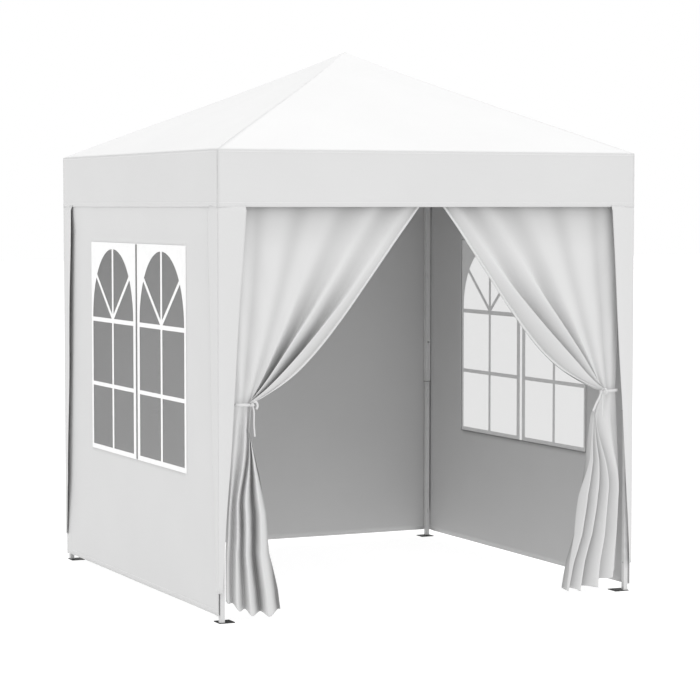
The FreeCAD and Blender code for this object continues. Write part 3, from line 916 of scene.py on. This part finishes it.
def painted_fold_shade(up_phase, low_phase, share, down, change, opened, below_top):
    """Painted shade at each point, 0 on a ridge and up to 1: darker deep in a fold, with painted shadow under
    the valance and painted shade beside the leg.
    """
    rows_up = len(down)
    # painted shade: darker in the valleys of the folds, most by the door edge and near the tie
    valley = (1 - np.cos(up_phase)) / 2
    by_door = ease((share - 0.52) / 0.14)
    soft = 0.16 * valley ** 2 * ease((share - 0.08) / 0.1) * (1 - by_door) + 0.05
    near_tie = ease((down - 0.5) / 0.3) * ease((0.97 - down) / 0.1)
    deep = (0.16 + 0.26 * ease((down - 0.1) / 0.6)) * valley[:rows_up] ** 1.2
    deep = (deep + 0.42 * near_tie * valley[:rows_up] ** 7) * by_door
    neck = soft[-1:] + 0.4 * valley[rows_up:] * by_door
    low_valley = (1 - np.cos(low_phase)) / 2
    inner_fold = ease((share - 0.42) / 0.12)
    low = (0.10 + 0.12 * opened + 0.34 * opened * inner_fold) * low_valley ** 3 + 0.08
    depth = np.concatenate([soft[:rows_up] + deep, (1 - change) * neck + change * low])
    # painted shadow under the valance, and painted shade on the cloth beside the leg
    shaded = 0.20 * np.exp(-np.maximum(below_top, 0) / 0.02) + 0.15 * (1 - ease(below_top / 0.22))
    beside = 0.18 * np.exp(-share / 0.03)
    return np.clip(depth + shaded + beside, 0, 1)


def curtain_flat(points):
    """The cloth's own measures: how far each point is along its row and down its thread."""
    across = np.linalg.norm(np.diff(points, axis=1), axis=2).mean(0)
    downs = np.linalg.norm(np.diff(points, axis=0), axis=2)
    u = np.concatenate([[0], np.cumsum(across)])[None, :] + 0 * points[..., 0]
    v = np.concatenate([np.zeros((1, points.shape[1])), np.cumsum(downs, axis=0)])
    return np.stack([u, v], -1)


def door_hem(points, inward):
    """The line of the door edge's hem, half a hem in from the edge, on the cloth; inward is +1 or -1."""
    edge = points[:, -1]
    run = np.gradient(edge[:, [0, 2]], axis=0)
    run /= np.linalg.norm(run, axis=1)[:, None]
    aside = np.stack([-run[:, 1], run[:, 0]], -1)
    aside *= np.sign(aside @ np.array((inward, 0.4)))[:, None]
    flat_line = edge[:, [0, 2]] + aside * HEM_RIBBON / 2
    cloth_xz = points[..., [0, 2]].reshape(-1, 2)
    cloth_y = points[..., 1].ravel()
    front = []
    for spot in flat_line:
        close = np.abs(cloth_xz - spot).max(1) < HEM_RIBBON / 2
        front.append(cloth_y[close].min())
    padded = np.pad(front, 3, mode="edge")
    smooth = np.convolve(padded, np.ones(7) / 7, mode="valid")
    return np.stack([flat_line[:, 0], smooth - HEM_PROUD, flat_line[:, 1]], -1)


curtain_pieces = {}
door_hems = {}
HANDS = ((-1, "curtain_left", LEFT_FALL, 0.4), (1, "curtain_right", RIGHT_FALL, 2.1))
for hand, name, fall, seed in HANDS:
    # shade is the painted fold shade that darkens the curtain's colour
    points, shade = curtain_grid(hand, fall, seed)
    flat = curtain_flat(points)
    drape = cloth_sheet(
        "door_" + name, points, flat, (0, -1, 0), curtain_cloth, thickness=CURTAIN_THICKNESS, shade=shade,
    )
    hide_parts(name)
    curtain_pieces[hand] = drape
    door_hems[hand] = door_hem(points[points[:, -1, 2] > TIE_Z + 0.004], hand)
    area = sum(p.area for p in drape.data.polygons) / 2
    mean_width = area / flat[..., 1].max(0).mean()
    print(name, "cloth area", round(area, 3), "mean width", round(mean_width, 3))

# %% [markdown]
# ### Tie ribbons
# A flat ribbon goes once round the gathered neck and is tied in a bow: two loops and two hanging ends. A
# ribbon is a strip swept along a path, its flat side facing the way it is told at each point.

# %% Tie ribbons
RIBBON = 0.012
RIBBON_THICKNESS = 0.0009
NECK_DEPTH = 0.024
KNOT_OUT = 0.027


def ribbon_strip(path, facing, width=RIBBON, twist=0.0):
    """Verts and quads of a flat strip along a path; facing is the way its flat side looks."""
    path = np.array(path, float)
    run = np.gradient(path, axis=0)
    run /= np.linalg.norm(run, axis=1)[:, None]
    face = np.array(facing(path) if callable(facing) else [facing] * len(path), float)
    across = np.cross(run, face)
    across /= np.maximum(np.linalg.norm(across, axis=1)[:, None], 1e-9)
    turn = np.linspace(0, twist, len(path))[:, None]
    across = across * np.cos(turn) + face * np.sin(turn)
    left, right = path - across * width / 2, path + across * width / 2
    verts = np.stack([left, right], 1).reshape(-1, 3)
    quads = [(2 * i, 2 * i + 1, 2 * i + 3, 2 * i + 2) for i in range(len(path) - 1)]
    return verts, quads


def smooth_path(knots, count):
    """A smooth line through a few points (Catmull-Rom)."""
    knots = np.array(knots, float)
    padded = np.vstack([2 * knots[0] - knots[1], knots, 2 * knots[-1] - knots[-2]])
    t = np.linspace(0, len(knots) - 1 - 1e-9, count)
    i = t.astype(int)
    f = (t - i)[:, None]
    p0, p1, p2, p3 = padded[i], padded[i + 1], padded[i + 2], padded[i + 3]
    bend = 2 * p0 - 5 * p1 + 4 * p2 - p3
    twist = 3 * p1 - p0 - 3 * p2 + p3
    return 0.5 * (2 * p1 + (p2 - p0) * f + bend * f ** 2 + twist * f ** 3)


# the hanging ends as offsets from the knot: towards the door's middle, outwards, up
TAILS = {
    -1: (
        ((0, -0.004, 0), (0.004, -0.012, -0.03), (0.002, -0.016, -0.08), (0.005, -0.018, -0.131)),
    ),
    1: (
        ((0, -0.006, 0), (0.016, -0.020, -0.024), (0.034, -0.020, -0.052), (0.048, -0.016, -0.086)),
        ((0, -0.006, 0), (0.002, -0.022, -0.03), (0.006, -0.026, -0.07), (0.005, -0.026, -0.112)),
    ),
}
TAIL_WIDTHS = {-1: (0.0065,), 1: (0.012, 0.0065)}
KNOT_SHIFT = {-1: 0.009, 1: -0.015}
LOOPS = {
    -1: (
        (0, 0, 0.004), (0.006, -0.012, 0.014), (0.015, -0.015, 0.010),
        (0.019, -0.015, -0.004), (0.015, -0.012, -0.018),
    ),
    1: (
        (0, 0, 0.004), (-0.008, -0.020, 0.013), (-0.017, -0.024, 0.006),
        (-0.018, -0.023, -0.008), (-0.008, -0.014, -0.012),
    ),
}
KNOT = ((-0.006, -0.006, 0.006), (0.0, -0.010, 0.0), (0.006, -0.006, -0.006))
tie_pieces = {}
for hand, fall in ((-1, LEFT_FALL), (1, RIGHT_FALL)):
    x_leg, x_door = fall[0][1] + 0.006, fall[0][2] - 0.006
    middle, reach, depth = (x_leg + x_door) / 2, (x_leg - x_door) / 2, NECK_DEPTH
    z = TIE_Z - 0.005
    turn = np.linspace(0, 2 * math.pi, 49)
    squircle = lambda c: np.sign(c) * np.abs(c) ** 0.6
    loop = np.stack([
        hand * (middle + reach * squircle(np.cos(turn))),
        CURTAIN_LINE + depth * squircle(np.sin(turn)),
        z + 0.003 * np.cos(turn),
    ], -1)
    looks_out = np.stack([loop[:, 0] - hand * middle, loop[:, 1] - CURTAIN_LINE, 0 * turn], -1)
    knot = np.array((hand * (x_door + KNOT_SHIFT[hand]), CURTAIN_LINE - KNOT_OUT, z))

    def bow(offsets, width, count=22):
        """A bit of ribbon by offsets from the knot; x offsets point to the door's middle."""
        knots = [knot + np.array((-hand * dx, dy, dz)) for dx, dy, dz in offsets]
        return ribbon_strip(smooth_path(knots, count), (0.25 * hand, -1.0, 0.15), width)

    strips = [ribbon_strip(loop, lambda path: looks_out), bow(LOOPS[hand], 0.009), bow(KNOT, 0.012, 6)]
    strips += [bow(tail, width) for tail, width in zip(TAILS[hand], TAIL_WIDTHS[hand])]
    tapered = HEM_RIBBON * (0.15 + 0.85 * ease((door_hems[hand][:, 2:] - TIE_Z) / 0.12))
    strips.append(ribbon_strip(door_hems[hand], (0, -1.0, 0), tapered))
    verts, quads, base = [], [], 0
    for strip_verts, strip_quads in strips:
        verts.extend(strip_verts)
        quads.extend([tuple(base + q for q in quad) for quad in strip_quads])
        base += len(strip_verts)
    tie = mesh_object("curtain_tie_" + ("left" if hand < 0 else "right"), verts, quads, [ribbon_cloth])
    layer = tie.data.uv_layers.new(name="cloth")
    for loop_item, spot in zip(tie.data.loops, layer.data):
        co = tie.data.vertices[loop_item.vertex_index].co
        spot.uv = (co.x + co.y, co.z)
    thicken = tie.modifiers.new("thickness", "SOLIDIFY")
    thicken.thickness = RIBBON_THICKNESS
    thicken.offset = 0.0
    tie_pieces[hand] = plain(tie)
    print("tie", "left" if hand < 0 else "right", "faces", len(tie.data.polygons))

# %% [markdown]
# ## Stitching
# Every hem and seam is sewn. A row of stitches repeats one short thread along a path, so Geometry Nodes make
# it: the path is cut into equal steps, a small thread is placed at each and turned along the path, and the
# result is made real so that it can be exported.

# %% Stitch tree
def stitch_tree():
    """A node group: curve in, rows of short threads out."""
    group = bpy.data.node_groups.new("stitch_row", "GeometryNodeTree")
    face = group.interface
    face.new_socket("Geometry", in_out="INPUT", socket_type="NodeSocketGeometry")
    sockets = {}
    for label in ("Pitch", "Stitch length", "Thread radius"):
        sockets[label] = face.new_socket(label, in_out="INPUT", socket_type="NodeSocketFloat").identifier
    sockets["Thread"] = face.new_socket("Thread", in_out="INPUT", socket_type="NodeSocketMaterial").identifier
    face.new_socket("Geometry", in_out="OUTPUT", socket_type="NodeSocketGeometry")
    add = group.nodes.new
    link = group.links.new
    start, end = add("NodeGroupInput"), add("NodeGroupOutput")
    steps = add("GeometryNodeResampleCurve")
    steps.mode = "LENGTH"
    link(start.outputs["Geometry"], steps.inputs["Curve"])
    link(start.outputs["Pitch"], steps.inputs["Length"])
    tube = add("GeometryNodeMeshCylinder")
    tube.inputs["Vertices"].default_value = 5
    tube.inputs["Side Segments"].default_value = 1
    link(start.outputs["Thread radius"], tube.inputs["Radius"])
    link(start.outputs["Stitch length"], tube.inputs["Depth"])
    tangent = add("GeometryNodeInputTangent")
    turn = add("FunctionNodeAlignRotationToVector")
    turn.axis = "Z"
    link(tangent.outputs["Tangent"], turn.inputs["Vector"])
    place = add("GeometryNodeInstanceOnPoints")
    link(steps.outputs["Curve"], place.inputs["Points"])
    link(tube.outputs["Mesh"], place.inputs["Instance"])
    link(turn.outputs["Rotation"], place.inputs["Rotation"])
    real = add("GeometryNodeRealizeInstances")
    link(place.outputs["Instances"], real.inputs["Geometry"])
    paint_it = add("GeometryNodeSetMaterial")
    link(real.outputs["Geometry"], paint_it.inputs["Geometry"])
    link(start.outputs["Thread"], paint_it.inputs["Material"])
    link(paint_it.outputs["Geometry"], end.inputs["Geometry"])
    return group, sockets


stitches, stitch_sockets = stitch_tree()


STITCH_PITCH = 0.009
STITCH_LENGTH = 0.0062
THREAD_RADIUS = 0.0005


def sewn_rows(name, paths, pitch=STITCH_PITCH, length=STITCH_LENGTH):
    """One mesh of stitches along several paths."""
    curve = bpy.data.curves.new(name, "CURVE")
    curve.dimensions = "3D"
    for path in paths:
        spline = curve.splines.new("POLY")
        spline.points.add(len(path) - 1)
        spots = np.column_stack([path, np.ones(len(path))])
        spline.points.foreach_set("co", spots.astype(np.float32).ravel())
    obj = bpy.data.objects.new(name, curve)
    scene.collection.objects.link(obj)
    modifier = obj.modifiers.new("stitches", "NODES")
    modifier.node_group = stitches
    inputs = {"Pitch": pitch, "Stitch length": length, "Thread radius": THREAD_RADIUS, "Thread": thread}
    for label, value in inputs.items():
        modifier[stitch_sockets[label]] = value
    return curve_piece(obj, name)


def level_row(reach, y, z):
    """A level path along a side, from -reach to reach."""
    return np.array(((-reach, y, z), (reach, y, z)))


# %% Sewing the canopy, walls and curtains
PROUD = 0.0006
EAVE_SEAM_DROP = 0.009
EDGE_IN = 0.006
CURTAIN_LENGTH = 1.78
stitch_faces = 0
for k, side in enumerate(SIDES):
    along, out = side_axis(k)
    reach = half - 0.01
    rows = [
        level_row(reach, -half - PROUD - 0.0016, valance_low + HEM - 0.004),
        level_row(reach, -half - PROUD - 0.0004, eave - EAVE_SEAM_DROP),
    ]
    sewn = sewn_rows("stitches_valance_" + side, [quarter_turn(row, k) for row in rows])
    goes_with(sewn, "frame_" + side, along)
    stitch_faces += len(sewn.data.polygons)
    if side != "front":
        face = window_face - PROUD
        edge = wall_half - 0.02
        rows = [level_row(edge, face, wall_low.z + HEM)]
        if side != "back":
            for hand in (-1, 1):
                inner, outer = hand * (PAIR_GAP / 2 + EDGE_IN), hand * (WINDOW_SIDE - EDGE_IN)
                low_z, high_z = WINDOW_Z[0] + EDGE_IN, WINDOW_Z[1] - EDGE_IN
                ring = [*oblong(inner, outer, low_z, high_z), (inner, low_z)]
                rows.append(np.array([(x, face - 0.0005, z) for x, z in ring]))
        sewn = sewn_rows("stitches_wall_" + side, [quarter_turn(np.array(row), k) for row in rows])
        goes_with(sewn, "frame_" + side, along)
        stitch_faces += len(sewn.data.polygons)

for hand, leg in ((-1, "leg_front_left"), (1, "leg_front_right")):
    drape = curtain_pieces[hand]
    row = door_hems[hand] - np.array((0, PROUD + 0.0004, 0))
    name = "stitches_curtain_" + ("left" if hand < 0 else "right")
    sewn = sewn_rows(name, [row[1:-1]], pitch=0.008, length=0.0055)
    stitch_faces += len(sewn.data.polygons)
    for piece in (drape, tie_pieces[hand], sewn):
        goes_with(piece, leg, (1, 0, 0))
    mean_width = sum(p.area for p in drape.data.polygons) / 2 / CURTAIN_LENGTH
    print("curtain", leg, "flat", round(mean_width, 3), "x", CURTAIN_LENGTH)
print("stitch faces", stitch_faces)
